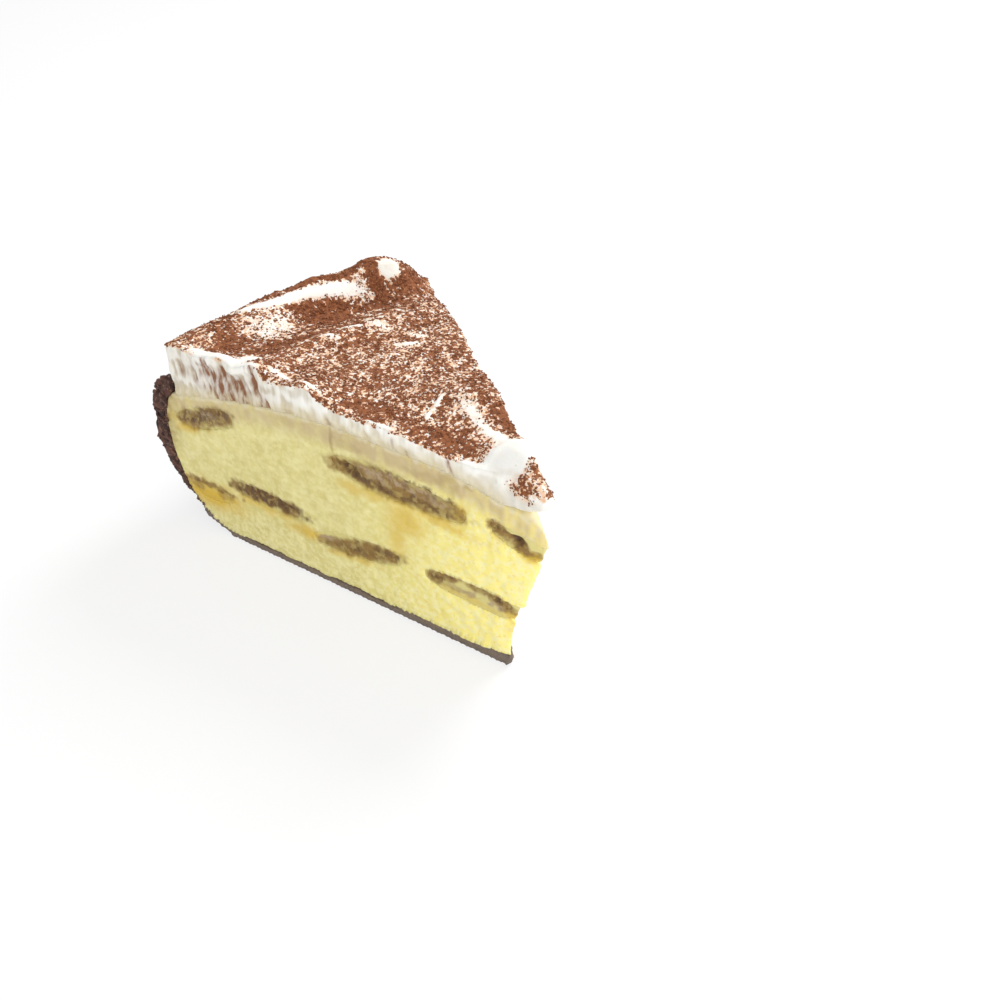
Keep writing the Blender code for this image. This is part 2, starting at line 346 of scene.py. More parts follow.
crumb_finish = Finish("crumb_crust", 0.82)
toned = crumb_finish.blend(crumb_finish.contrast(crumb_finish.marked("shade"), 0.3, 0.75), CRUMB_DARK, CRUMB_MIDDLE)
flecks = crumb_finish.contrast(crumb_finish.speckle(1.1 * MM, 3), 0.56, 0.68)
toned = crumb_finish.blend(crumb_finish.sum("MULTIPLY", flecks, 0.75), toned, CRUMB_LIGHT)
# Painted shade: the hollows between the crumbs are coloured nearly black.
toned = crumb_finish.blend(
    crumb_finish.contrast(crumb_finish.marked("stand"), 0.55, 0.15, 0.0, 0.8), toned, CRUMB_GAP_SHADE
)
# Paler grey-brown low on the cuts.
toned = crumb_finish.blend(crumb_finish.sum("MULTIPLY", crumb_finish.marked("greyed_low"), 0.8), toned, CRUMB_LOW_GREY)
crumb_finish.colour(toned)
crumb_finish.roughness(crumb_finish.contrast(crumb_finish.speckle(1.5 * MM), 0.35, 0.7, 0.65, 0.92))
crumb_finish.bump(crumb_finish.speckle(0.5 * MM, 4), 0.35 * MM, 0.7)
wear(crust, crumb_finish)
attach(crust, "root")
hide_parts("crust")

# ---- Cheesecake ----
# Egg-rich cream cheese baked in the crust: pale yellow, moist and close, with soft curds towards the bottom and
# the tip. Coffee from the soaked fingers has stained it round them, and cocoa has dusted its top. Its colour also
# holds painted shade under the cream and beside the crust wall, and a painted glow towards the tip.

# Stains on the near cut: distance, height, half length, half thickness and tilt, then how strong.
BROWN = (
    (124.8, 41.6, 7.4, 3.5, -15, 1.0), (113.5, 46.0, 7.2, 3.5, -14, 1.0), (119, 43.8, 7, 2.8, -19, 0.95),
    (47, 47.0, 22.5, 4.3, 1, 1.0), (66, 47.0, 4.5, 2.6, -5, 1.0), (28, 48.5, 4.5, 2.6, 12, 0.8),
    (13, 47.2, 4.8, 2.0, 28, 1.0), (7.2, 45.2, 4.0, 2.3, 18, 1.0), (2.5, 44.0, 3.0, 0.9, 10, 0.7),
    (122, 17.6, 10.5, 1.6, 1, 0.9), (128, 15.6, 3.4, 2.0, 0, 0.6), (116, 15.6, 3.4, 1.6, 0, 0.5),
    (97.5, 22.3, 14.2, 2.9, 1, 1.0), (89, 22.0, 5.2, 3.1, -4, 1.0), (108, 22.2, 6.0, 2.6, 8, 0.9),
    (61, 18.6, 15.5, 3.2, -13, 1.0), (73, 16.2, 5.6, 2.2, -12, 0.9), (51.5, 21.0, 4.6, 2.6, -14, 1.0),
    (35, 20.8, 2.5, 2.2, 40, 0.95), (30.5, 22.8, 4.4, 1.3, -4, 0.95), (22, 23.2, 4.4, 1.2, 6, 0.9),
    (12.5, 21.7, 4.8, 2.0, 16, 1.0), (26, 20.2, 6.0, 1.0, 0, 0.45), (7, 20.5, 3.5, 1.2, 20, 0.6),
    (29, 56, 4.0, 3.6, 0, 0.30), (36, 55, 6.5, 1.8, 0, 0.25), (62, 55, 5.0, 1.8, 0, 0.20),
    (22, 58, 4.0, 1.2, -8, 0.25), (68.4, 54.5, 0.6, 4.5, 0, 0.50),
)
DARK = (
    (126, 41.0, 3.6, 1.1, -4, 0.8), (121, 42.0, 1.8, 1.1, 0, 0.7), (111.6, 47.4, 3.2, 0.9, -14, 0.75),
    (115, 44.6, 2.6, 0.8, -10, 0.6), (64, 47.2, 3.6, 1.1, -6, 1.0), (59, 45.6, 4.5, 0.9, -4, 0.8),
    (42, 51.0, 13, 0.6, 0, 0.65), (31, 50.2, 4.0, 1.1, 4, 0.8), (50, 44.6, 9, 0.8, 2, 0.6), (36, 45.6, 7, 0.9, 4, 0.6),
    (8.2, 46.2, 2.1, 1.2, 28, 1.0), (12.5, 47.6, 1.6, 0.7, 20, 0.6), (90, 23.2, 5.5, 1.0, -2, 0.7),
    (101, 22.6, 6.5, 0.9, 2, 0.55), (52.5, 21.4, 3.2, 1.2, -12, 0.6), (60, 18.4, 4.5, 1.1, -12, 0.3),
    (68, 16.6, 3.2, 0.9, -10, 0.3), (97, 22.3, 13.5, 2.6, 1, 0.85), (119, 44, 9.5, 2.4, -19, 0.55),
    (35.2, 21.4, 1.0, 0.8, 0, 0.8), (29.5, 23.4, 1.4, 0.5, 0, 0.8),
    (23.5, 23.0, 1.2, 0.6, 0, 0.8), (14.2, 22.4, 1.8, 0.8, 12, 0.8), (9.8, 21.4, 1.2, 0.8, 0, 0.7),
    (117, 17.0, 3.4, 0.7, 4, 0.6), (128, 17.8, 2.6, 0.5, 0, 0.5),
)
GREY = (
    (45, 49.0, 14.5, 1.7, 0, 0.9), (36, 48.0, 7.0, 1.4, 4, 0.6), (53, 47.6, 5.0, 1.2, -2, 0.5),
    (118, 44.6, 3.6, 1.2, -15, 0.6), (74, 17.4, 3.8, 0.9, -14, 0.9), (24.5, 20.6, 3.8, 1.3, 0, 0.8),
    (15, 20.2, 2.8, 1.0, 10, 0.8), (19, 21.8, 2.0, 0.9, 0, 0.6),
)
AMBER_SPOTS = (
    (123, 13.8, 12.5, 4.4, 1, 1.0), (127, 15.5, 7.0, 3.4, 0, 0.9), (113, 15.2, 5.0, 2.6, 0, 0.8),
    (44, 37.5, 5.6, 5.4, 0, 0.75), (47.5, 28.5, 2.8, 6.0, 8, 0.6), (38, 42.2, 15, 1.8, 2, 0.75),
    (57, 41.6, 9.0, 2.0, -6, 0.6), (82, 16.2, 7.5, 2.2, -2, 0.8), (100, 18.6, 14, 1.6, 1, 0.65),
    (92, 18.2, 7.0, 1.6, 0, 0.5), (66, 14.0, 9.0, 1.2, -10, 0.6), (26, 47.6, 2.2, 3.4, 30, 0.9),
    (24.5, 44.5, 2, 2.0, 0, 0.5), (126, 38.2, 6.0, 1.4, -14, 0.8), (133, 39.5, 2, 2.0, 0, 0.4),
    (3.5, 43.0, 5.0, 1.5, 12, 1.0), (6, 13.0, 4.5, 3.2, 10, 0.75), (8, 18.6, 4.0, 1.8, 14, 0.8),
    (20, 18.4, 12, 0.9, 2, 0.5), (14, 44.6, 3.0, 1.2, 25, 0.5),
)


def stain(along, height, places, waver, softness=0.3):
    """How stained each point is, from 0 to 1. The edges of the stains waver and are soft."""
    most = np.zeros(len(along))
    for middle, level, half_length, half_thick, tilt, strength in places:
        lean = math.radians(tilt)
        across, up = along - middle * MM, height - level * MM
        reach = np.hypot(
            (across * math.cos(lean) + up * math.sin(lean)) / (half_length * MM),
            (up * math.cos(lean) - across * math.sin(lean)) / (half_thick * MM),
        )
        size = 1 + waver * min(1.0, 1.6 / half_thick) * 0.75
        most = np.maximum(most, strength * slope(size - reach, -softness, softness))
    return most


def mark_stains(piece, points, along_near):
    """Coffee's stains run on from the fingers into the cheese, so both keep the same amounts; beside the crust wall
    the amounts also hold painted shade.
    """
    height = points[:, 2]
    waver = 0.8 * lumps(points, 3.2 * MM, 7.0) + 0.55 * lumps(points, 1.3 * MM, 8.0)
    brown = stain(along_near, height, BROWN, waver)
    # Painted shade: the cheese is darkened brown beside the crust wall, in the same mark as the coffee stains.
    wall_shade = slope(along_near, 127 * MM, 137 * MM) * slope(height, 22 * MM, 34 * MM) * (0.8 + 0.5 * waver)
    brown = np.maximum(brown, np.clip(0.75 * wall_shade, 0, 0.8))
    mark(piece, "brown", brown)
    mark(piece, "dark", stain(along_near, height, DARK, 1.6 * waver, 0.45))
    mark(piece, "greyish", stain(along_near, height, GREY, 1.3 * waver, 0.4))
    ragged = 1.0 * waver + 0.9 * lumps(points, 6 * MM, 4.0)
    mark(piece, "amber", stain(along_near, height, AMBER_SPOTS, ragged, 0.85))
    return brown


def baked_top(radius):
    """Height of the cheese's top, which falls away to the wall and to the cake's middle."""
    top = 59.7 * MM - 11.5 * MM * np.clip((radius - 62 * MM) / (68 * MM), 0, 1) ** 1.7
    return top - 7 * MM * np.clip(1 - radius / (32 * MM), 0, 1) ** 1.4


CHEESE = (0.680, 0.605, 0.245)
CHEESE_PALE = (0.850, 0.790, 0.430)
CHEESE_DEEP = (0.600, 0.520, 0.190)
CHEESE_PAINTED_GLOW = (0.960, 0.840, 0.250)
CHEESE_CRACK = (0.790, 0.620, 0.150)
CREAM_SMEAR = (0.720, 0.660, 0.470)
AMBER = (0.620, 0.395, 0.022)
COFFEE_AND_WALL_SHADE = (0.245, 0.142, 0.034)
COFFEE_DARK = (0.090, 0.042, 0.015)
SPONGE_GREY = (0.400, 0.290, 0.180)
SPONGE_PIT_SHADE = (0.050, 0.024, 0.012)
BEIGE_DUST_AND_SHADE = (0.500, 0.375, 0.215)
CHEESE_CELL = 0.62 * MM


def stained(finish, toned):
    """Colours laid over a food where the coffee has soaked it, and painted shade beside the crust wall."""
    grain = finish.contrast(finish.speckle(2.4 * MM, 3), 0.32, 0.62, 0.70, 1.15)
    fibres = finish.contrast(finish.speckle(1.8 * MM, 2), 0.40, 0.60, 0.15, 1.0)
    toned = finish.blend(finish.sum("MULTIPLY", finish.marked("amber"), 0.9), toned, AMBER)
    soaked = finish.sum("MULTIPLY", finish.marked("brown"), finish.sum("MINIMUM", grain, 1.0))
    toned = finish.blend(soaked, toned, COFFEE_AND_WALL_SHADE)
    toned = finish.blend(finish.sum("MULTIPLY", finish.marked("greyish"), fibres), toned, SPONGE_GREY)
    spots = finish.contrast(finish.speckle(2.4 * MM, 2), 0.36, 0.58, 0.1, 1.0)
    return finish.blend(finish.sum("MULTIPLY", finish.marked("dark"), spots), toned, COFFEE_DARK)


cheese = copy_of("cheesecake", "cheesecake_body")
knead(cheese, CHEESE_CELL, 4)
points = points_of(cheese)
depth = np.minimum(*cut_places(points)[2:])
thin_out(cheese, depth > 3 * MM, 0.08)

# The knife leaves no sharp edge round the fingers' pockets.
points, normals = points_of(cheese), normals_of(cheese)
_, _, behind_near, behind_far = cut_places(points)
into = into_slice(behind_near, behind_far)
edges = slope(-np.abs((normals * into).sum(axis=1)), -0.99, -0.93) * (np.minimum(behind_near, behind_far) < 5 * MM)
smooth_places(cheese, edges * slope(points[:, 2], 4 * MM, 8 * MM), 14)

points, normals = points_of(cheese), normals_of(cheese)
along_near, _, behind_near, behind_far = cut_places(points)
depth = np.minimum(behind_near, behind_far)
height = points[:, 2].copy()
flat = points - CAKE_MIDDLE
radius = np.hypot(flat[:, 0], flat[:, 1])
into = into_slice(behind_near, behind_far)
on_cut = slope(-depth, -2.2 * MM, -0.4 * MM)
# Curds show towards the tip and the bottom.
curdy = np.clip(slope(-along_near, -62 * MM, -20 * MM) * 0.8 + 0.5 * slope(-height, -20 * MM, -10 * MM), 0, 1)
relief = 0.20 * MM * lumps(points, 5 * MM) + 0.12 * MM * lumps(points, 2.0 * MM, 3.0)
relief += 0.50 * MM * curdy * lumps(points, 2.9 * MM, 13.0)
from_tip = np.maximum(behind_near, behind_far)
calm_tip = slope(from_tip, 1.0 * MM, 4 * MM)
points = points + into * (relief * on_cut * calm_tip)[:, None]
# It presses against the crust, sags onto the base, and closes round the fingers.
faces_out = (flat[:, 0] * normals[:, 0] + flat[:, 1] * normals[:, 1]) / np.maximum(radius, MM)
beside_crust = (radius > 110 * MM) & ((faces_out > 0.35) | (normals[:, 2] < -0.5))
low = (normals[:, 2] < -0.5) & (radius <= 110 * MM)
spread = 0.5 * MM + 0.2 * MM * slope(-height, -20 * MM, -12 * MM)
sag = (0.4 + 0.9 * slope(-along_near, -60 * MM, -20 * MM) + 0.5 * lumps(points, 5 * MM, 19.0)) * MM
points = points + normals * np.where(beside_crust, spread, np.where(low, sag, 0.0))[:, None]
pocket_wall = slope(-np.abs((normals * into).sum(axis=1)), -0.95, -0.6) * slope(-depth, -7 * MM, -5 * MM)
pocket_wall *= (radius < 108 * MM) | (faces_out < 0.3)
pocket_wall *= (height > 8 * MM) & (height < 53 * MM) & (from_tip > 5 * MM)
points = points + normals * (0.6 * MM * pocket_wall * slope(from_tip, 14 * MM, 30 * MM))[:, None]
points[:, 2] = np.maximum(points[:, 2], 0.9 * MM)
move_to(cheese, points)
smooth_places(cheese, np.maximum(pocket_wall, slope(-from_tip, -5 * MM, -2 * MM)), 8)
points = points_of(cheese)

mark_stains(cheese, points, along_near)
below_top = baked_top(radius) - height
# Darker beige just under the cream: partly cocoa dust, partly painted shade under the cream's edge.
dust_and_shade = slope(-below_top, -9.5 * MM, -3 * MM) * (0.62 + 0.38 * bell(along_near - 46 * MM, 28 * MM))
upright = lumps(points * [1, 1, 0.3], 1.9 * MM, 6.0)
mark(cheese, "dust_and_shade", np.clip(dust_and_shade * (1.1 + 0.7 * upright), 0, 1))
smear = slope(-below_top, -2.4 * MM, -0.2 * MM) + 0.9 * upright
mark(cheese, "smeared", 0.6 * slope(smear, 0.45, 1.1) * slope(-below_top, -4.5 * MM, -1.0 * MM))
# Painted light: the cheese is coloured brighter and yellower towards the tip, where light shines through it.
mark(cheese, "painted_glow", slope(-(along_near + 0.22 * (height - 20 * MM)), -75 * MM, -5 * MM))
mark(cheese, "curdy", curdy)

cheese_finish = Finish("baked_cheese", 0.5)
deeper = cheese_finish.contrast(cheese_finish.speckle(6 * MM, 4), 0.42, 0.66, 0.0, 0.7)
toned = cheese_finish.blend(deeper, CHEESE, CHEESE_DEEP)
streaks = cheese_finish.contrast(cheese_finish.speckle(3.2 * MM, 1.5, (0.6, 0.6, 1.2)), 0.48, 0.72, 0.0, 0.4)
toned = cheese_finish.blend(streaks, toned, CHEESE_PALE)
# Painted light: a brighter yellow glow towards the tip.
toned = cheese_finish.blend(cheese_finish.sum("MULTIPLY", cheese_finish.marked("painted_glow"), 0.85), toned, CHEESE_PAINTED_GLOW)
curds = cheese_finish.contrast(cheese_finish.speckle(1.7 * MM, 2), 0.40, 0.62)
curds = cheese_finish.sum("MULTIPLY", curds, cheese_finish.contrast(cheese_finish.marked("curdy"), 0, 1, 0.3, 0.75))
toned = cheese_finish.blend(curds, toned, CHEESE_PALE)
cracks = cheese_finish.contrast(cheese_finish.speckle(1.4 * MM, 3), 0.44, 0.30)
cracks = cheese_finish.sum("MULTIPLY", cracks, cheese_finish.contrast(cheese_finish.marked("curdy"), 0, 1, 0.25, 0.50))
# Painted light: inside the painted glow the cracks are a warmer, brighter yellow.
crack_colour = cheese_finish.blend(cheese_finish.marked("painted_glow"), CHEESE_DEEP, CHEESE_CRACK)
toned = cheese_finish.blend(cracks, toned, crack_colour)
# Beige of cocoa dust and painted shade under the cream.
toned = cheese_finish.blend(cheese_finish.sum("MULTIPLY", cheese_finish.marked("dust_and_shade"), 0.8), toned, BEIGE_DUST_AND_SHADE)
toned = cheese_finish.blend(cheese_finish.marked("smeared"), stained(cheese_finish, toned), CREAM_SMEAR)
cheese_finish.colour(toned)
cheese_finish.roughness(cheese_finish.contrast(cheese_finish.speckle(4 * MM), 0.35, 0.65, 0.42, 0.62))
cheese_finish.bump(cheese_finish.speckle(0.9 * MM, 2), 0.15 * MM, 0.35)
cheese_finish.glow(0.15, 2 * MM)
wear(cheese, cheese_finish)
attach(cheese, "root")
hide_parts("cheesecake")

# ---- Sponge fingers ----
# Ladyfinger biscuits soaked in coffee, which baked soft in the cheese: brown, wet and holey, with no clean edge.
# The cuts go straight through them, and two in the upper row have pulled open.
FINGERS = ("finger_low_1", "finger_low_2", "finger_low_3", "finger_low_4", "finger_up_1", "finger_up_2", "finger_up_3")

# Each finger swells past its pocket's walls, and its edge is tucked in behind the cut, so that no gap shows.
FINGER_CELL = 0.5 * MM
FINGER_SWELL = 1.6 * MM
FINGER_TUCK = 0.9 * MM

sponge_finish = Finish("soaked_sponge", 0.5)
toned = stained(sponge_finish, sponge_finish.blend(0.5, CHEESE, CHEESE_DEEP))
# Painted shade: the sponge's pits are coloured nearly black.
toned = sponge_finish.blend(sponge_finish.marked("pitted"), toned, SPONGE_PIT_SHADE)
sponge_finish.colour(toned)
sponge_finish.roughness(sponge_finish.contrast(sponge_finish.speckle(2 * MM), 0.35, 0.65, 0.35, 0.65))
sponge_finish.bump(sponge_finish.speckle(0.7 * MM, 3), 0.25 * MM, 0.5)
sponge_finish.glow(0.1, 1.5 * MM)

for number, name in enumerate(FINGERS):
    finger = copy_of(name, f"sponge_{name}")
    knead(finger, FINGER_CELL, 4)
    points, normals = points_of(finger), normals_of(finger)
    _, _, behind_near, behind_far = cut_places(points)
    side = (np.abs(normals @ INTO_NEAR) < 0.8) & (np.abs(normals @ INTO_FAR) < 0.95)
    tuck = FINGER_TUCK * side
    from_tip = np.maximum(behind_near, behind_far)
    points = points + normals * (FINGER_SWELL * side * slope(from_tip, 1.5 * MM, 4 * MM))[:, None]
    points[:, 0] -= 0.5 * MM * slope(-from_tip, -4 * MM, -1.5 * MM)
    points = points + INTO_NEAR * (tuck * (behind_near < 1.2 * MM))[:, None]
    points = points + INTO_FAR * (tuck * (behind_far < 1.2 * MM))[:, None]
    move_to(finger, points)
    smooth_places(finger, np.ones(len(points)), 5)
    points = points_of(finger)
    along_near, _, behind_near, behind_far = cut_places(points)
    near_cover = slope(-behind_near, -3.5 * MM, -0.3 * MM)
    far_cover = slope(-behind_far, -3.5 * MM, -0.3 * MM)
    brown = mark_stains(finger, points, along_near)
    pores, _ = crumbs(points, 1.5 * MM, 3.0 + number)
    pitted = slope(lumps(points, 2.4 * MM, 6.0 + number), -0.10, 0.35) * slope(pores, 0.6, 0.97) * brown
    relief = 0.20 * MM * lumps(points, 5 * MM) + 0.18 * MM * lumps(points, 1.8 * MM, 3.0)
    rough = 0.22 * MM * lumps(points, 1.6 * MM, 2.0 + number) * brown
    # Two of the upper fingers have pulled open.
    hollow = bell(along_near - 63.5 * MM, 3.6 * MM) * bell(points[:, 2] - 46.9 * MM, 1.3 * MM)
    hollow += bell(along_near - 8.2 * MM, 2.2 * MM) * bell(points[:, 2] - 46.0 * MM, 1.3 * MM)
    recess = 0.06 * MM + relief + rough + 0.6 * MM * pitted + 0.25 * MM * brown + 2.2 * MM * hollow
    points = points + INTO_NEAR * (recess * near_cover)[:, None] + INTO_FAR * (recess * far_cover)[:, None]
    move_to(finger, points)
    smooth_places(finger, slope(-np.maximum(behind_near, behind_far), -5 * MM, -2 * MM), 4)
    # Where the pits take their painted shade.
    mark(finger, "pitted", np.clip(0.35 * pitted * (near_cover + far_cover), 0, 0.5))
    wear(finger, sponge_finish)
    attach(finger, "root")
    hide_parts(name)

# ---- Whipped cream ----
# Whipped cream spread with a spatula: a ridge round the rim with a mound at its far end, swirls across the top and
# a bare peak at the tip. The knife has dragged upright ridges, and cocoa from the top, down both of its cuts.
CREAM_CELL = 0.44 * MM
CREAM_HIGHEST = 72.2 * MM

cream = copy_of("whipped_cream", "whipped_cream_layer")
knead(cream, CREAM_CELL, 5)
points, normals = points_of(cream), normals_of(cream)
depth = np.minimum(*cut_places(points)[2:])
radius = distance_out(points)
thin_out(cream, (normals[:, 2] < -0.7) & (depth > 3 * MM) & (radius < 127 * MM) & (radius > 15 * MM), 0.05)

# The tip is a soft blob that stands off the cheese.
points = points_of(cream)
flat = points - CAKE_MIDDLE
tip = slope(flat[:, 0], -12 * MM, 0.5 * MM)
points[:, 2] += 0.9 * tip * np.maximum(60.5 * MM - points[:, 2], 0)
move_to(cream, points)
smooth_places(cream, slope(flat[:, 0], -16 * MM, -6 * MM), 40)
points, normals = points_of(cream), normals_of(cream)
swell = slope(points[:, 0] - CAKE_MIDDLE[0], -11 * MM, -3 * MM)
points = points + normals * (1.3 * MM * swell)[:, None]
beside_tip = bell(points[:, 0] - CAKE_MIDDLE[0] - 3 * MM, 4 * MM)
points[:, 2] += 2.2 * MM * beside_tip * slope(-points[:, 2], -63 * MM, -58 * MM)
TIP_NOSE = 3.3 * MM
beyond = np.maximum(points[:, 0] - (cad_box[1].x - TIP_NOSE - 0.3 * MM), 0)
points[:, 0] += TIP_NOSE * np.tanh(beyond / TIP_NOSE) - beyond
move_to(cream, points)
smooth_places(cream, slope(points[:, 0] - CAKE_MIDDLE[0], -12 * MM, -5 * MM), 25)

# Bare or thinly dusted places, and thickly dusted ones: X and Y from the cake's middle, reach along and across,
# turn in degrees, and how much cocoa is added there.
DUSTING = (
    (-125.0, -14.0, 6.0, 1.2, 80, -0.65), (-123.4, -4.0, 5.5, 1.6, 82, -0.72), (-121.8, 5.0, 5.5, 1.8, 76, -0.66),
    (-120.4, 13.0, 5.0, 2.0, 70, -0.42), (-117.0, 18.5, 4.0, 2.4, 60, -0.22), (-118.4, 29.9, 2.8, 1.8, 80, -1.70),
    (-118.6, 24.2, 4.5, 1.7, -8, 0.80), (-125.0, 15.0, 8.0, 1.6, 84, 0.60), (-127.2, 3.0, 6.0, 1.3, 78, 0.50),
    (-129.0, -9.0, 8.0, 1.1, 88, 0.40), (-115.2, -13.6, 6.5, 4.5, 70, -0.28), (-111.0, -18.0, 4.0, 2.5, 30, -0.20),
    (-117.0, 7.6, 5.5, 2.6, 70, 0.45), (-113.5, 3.0, 6.0, 4.0, 60, 0.42), (-119.8, -2.0, 4.0, 1.6, 80, 0.20),
    (-114.0, -28.5, 9.0, 4.0, -10, 0.16), (-101.5, -12.0, 14.0, 2.2, 84, 0.30), (-99.5, -27.0, 4.0, 2.6, 70, 0.16),
    (-97.6, 3.6, 4.6, 1.1, 70, -0.50), (-95.4, -4.8, 3.0, 1.0, 40, -0.40), (-94.2, 11.0, 4.5, 1.6, 10, -0.25),
    (-79.8, 12.2, 3.6, 1.0, 60, -0.50), (-82.0, 17.5, 4.0, 1.2, 40, -0.25), (-114.6, 34.5, 4.0, 4.5, 60, 0.32),
    (-111.0, 22.8, 5.5, 2.6, 70, 0.30), (-90.0, 3.0, 4.0, 5.0, 80, 0.12), (-68.0, 18.0, 9.0, 1.6, -20, -0.10),
    (-55.0, -14.0, 8.0, 3.5, 20, 0.18), (-47.2, 1.0, 2.4, 0.5, -58, -1.10), (-43.6, -5.0, 1.8, 0.6, -50, -0.80),
    (-35.0, 4.0, 7.5, 1.8, -8, -0.36), (-24.5, 3.4, 4.0, 1.5, 8, -0.60), (-28.5, 9.6, 7.0, 1.8, -20, 0.24),
    (-33.0, -6.8, 8.0, 3.0, 12, 0.20), (-14.0, -0.5, 5.4, 4.0, -75, -2.40), (-20.5, -7.6, 4.0, 1.4, 25, -0.80),
    (-103.8, -36.8, 7.5, 1.2, 20, -1.60), (-97.0, -30.0, 2.4, 2.6, 70, -1.10), (-83.5, -27.4, 3.0, 0.9, 20, -0.70),
    (-72.0, -24.5, 3.6, 0.7, 20, -0.50), (-48.0, -17.4, 5.0, 0.7, 20, -0.50),
)


def dusting(flat):
    """How much cocoa lies at each place on the top, from 0 to 1."""
    cover = 0.60 + 0.10 * lumps(flat * [1, 1, 0], 9 * MM, 14.0) + 0.10 * lumps(flat * [1, 1, 0], 4 * MM, 15.0)
    cover += 0.14 * lumps(flat * [1, 1, 0], 1.6 * MM, 17.0)
    for x, y, reach, width, turn, amount in DUSTING:
        c, s = math.cos(math.radians(turn)), math.sin(math.radians(turn))
        dx, dy = flat[:, 0] - x * MM, flat[:, 1] - y * MM
        cover += amount * bell(dx * c + dy * s, reach * MM) * bell(dy * c - dx * s, width * MM)
    patch = bell(flat[:, 0] + 3.5 * MM, 5.6 * MM) * bell(flat[:, 1] + 5.0 * MM, 3.8 * MM)
    return np.maximum(np.clip(cover, 0, 0.9), 0.58 * patch)


# Where the knife dragged cocoa down the near cut: distance, half width, how strong, and the heights it runs between.
DRAGS = (
    (94.0, 1.1, 1.0, 55, 71), (91.6, 1.3, 0.80, 55, 61), (97.5, 1.1, 0.60, 56, 64), (100.5, 1.4, 0.80, 54, 64),
    (103.0, 1.2, 0.65, 55, 65), (106.3, 1.1, 1.0, 55, 66), (108.8, 1.6, 0.75, 54, 63), (112.6, 1.2, 1.0, 54, 67),
    (115.0, 1.6, 0.75, 54, 65), (119.5, 1.0, 0.50, 55, 63), (125.0, 2.2, 0.35, 57, 62), (84.0, 1.8, 0.60, 56, 59),
    (72.4, 0.8, 0.60, 56, 59), (68.5, 0.8, 0.50, 50, 62), (60.5, 0.8, 0.55, 56, 58), (63.5, 1.8, 0.30, 55, 60),
    (107.0, 9.0, 0.62, 54, 65), (46.0, 0.9, 0.30, 59, 64), (42.0, 0.7, 0.50, 59, 61), (28.0, 0.7, 0.60, 60, 65),
    (10.5, 0.8, 0.50, 54, 56),
)

# Bumps and dips along the rim: X and Y from the cake's middle, reach and height.
RIM_BUMPS = ((-127.5, 6, 3.0, 0.9), (-125, 17.5, 3.6, -1.5), (-129, -6, 2.5, 0.4), (-128, -22, 4.0, -0.5))

points, normals = points_of(cream), normals_of(cream)
along_near, along_far, behind_near, behind_far = cut_places(points)
flat = points - CAKE_MIDDLE
height = points[:, 2].copy()
radius = np.hypot(flat[:, 0], flat[:, 1])
upward = slope(normals[:, 2], 0.25, 0.75)
downward = slope(-normals[:, 2], 0.3, 0.8)
cover = dusting(flat)

ridge_near = lumps(np.stack([along_near / 1.9, height / 7, 0 * height], axis=1), MM, 0.5)
ridge_fine = lumps(np.stack([along_near / 0.9, height / 3.4, 0 * height], axis=1), MM, 3.5)
clotted = lumps(points, 2.6 * MM, 16.0)
ridge_far = lumps(np.stack([along_far / 1.7, height / 10, 0 * height], axis=1), MM, 8.5)
ridge_near *= 0.35 + 0.65 * slope(along_near, 25 * MM, 60 * MM)
ridge_fine *= 0.35 + 0.65 * slope(along_near, 25 * MM, 60 * MM)
ridged_near = 0.8 * ridge_near + 0.4 * ridge_fine + 0.6 * clotted
ridge = np.where(behind_near < behind_far, ridged_near, ridge_far + 0.5 * clotted)
wander = 0.7 * MM * lumps(np.stack([0 * height, height / 3, 0 * height], axis=1), MM, 2.5)
dragged = np.zeros(len(points))
for place, half_width, strength, low, high in DRAGS:
    lean = 0.18 * (height - 60 * MM)
    stripe = bell(along_near + wander - lean - place * MM, half_width * MM)
    stripe *= slope(height, (low - 1.5) * MM, (low + 1.5) * MM) * slope(-height, -(high + 1) * MM, -(high - 2) * MM)
    dragged = np.maximum(dragged, strength * stripe)
near_face = slope(-behind_near, -2.6 * MM, -0.6 * MM) * slope(-normals @ INTO_NEAR, 0.2, 0.7)
far_face = slope(-behind_far, -2.6 * MM, -0.6 * MM) * slope(-normals @ INTO_FAR, 0.2, 0.7)

# The top edge of the near cut, and the soft lip that rolls over it in two humps with a dip between them.
beside = (behind_near > 0.8 * MM) & (behind_near < 3 * MM) & (normals[:, 2] > 0.5)
stations = np.arange(0, 131, 1.5) * MM
USUAL_TOP = 64 * MM
tops = np.array([height[beside & (np.abs(along_near - at) < 1.2 * MM)].max(initial=0) for at in stations])
tops = np.where(tops > 0, tops, USUAL_TOP)
under_edge = np.interp(along_near, stations, tops) - height
lip_here = np.clip(1.5 * bell(along_near - 114.2 * MM, 3.6 * MM) + 1.6 * bell(along_near - 99.2 * MM, 4.8 * MM), 0, 1)
lip = lip_here * slope(-under_edge, -4.2 * MM, -2.2 * MM) * slope(-behind_near, -2.2 * MM, -0.5 * MM)
shift_near = (0.34 * ridge_near + 0.20 * ridge_fine + 0.34 * clotted) * MM * (1 - 0.7 * lip)
shift_near = shift_near + 0.7 * MM * dragged - 0.2 * MM
shift_near = shift_near * near_face - 0.95 * MM * lip
shift_far = (0.4 * ridge_far + 0.3 * clotted - 0.2) * MM * far_face
cheese_top = baked_top(radius)
foot_tuck = 0.45 * MM * slope(cheese_top - height, -1.8 * MM, 0.6 * MM) * slope(radius, 12 * MM, 20 * MM)
shift_near, shift_far = shift_near + foot_tuck * near_face, shift_far + foot_tuck * far_face
points = points + INTO_NEAR * shift_near[:, None] + INTO_FAR * shift_far[:, None]

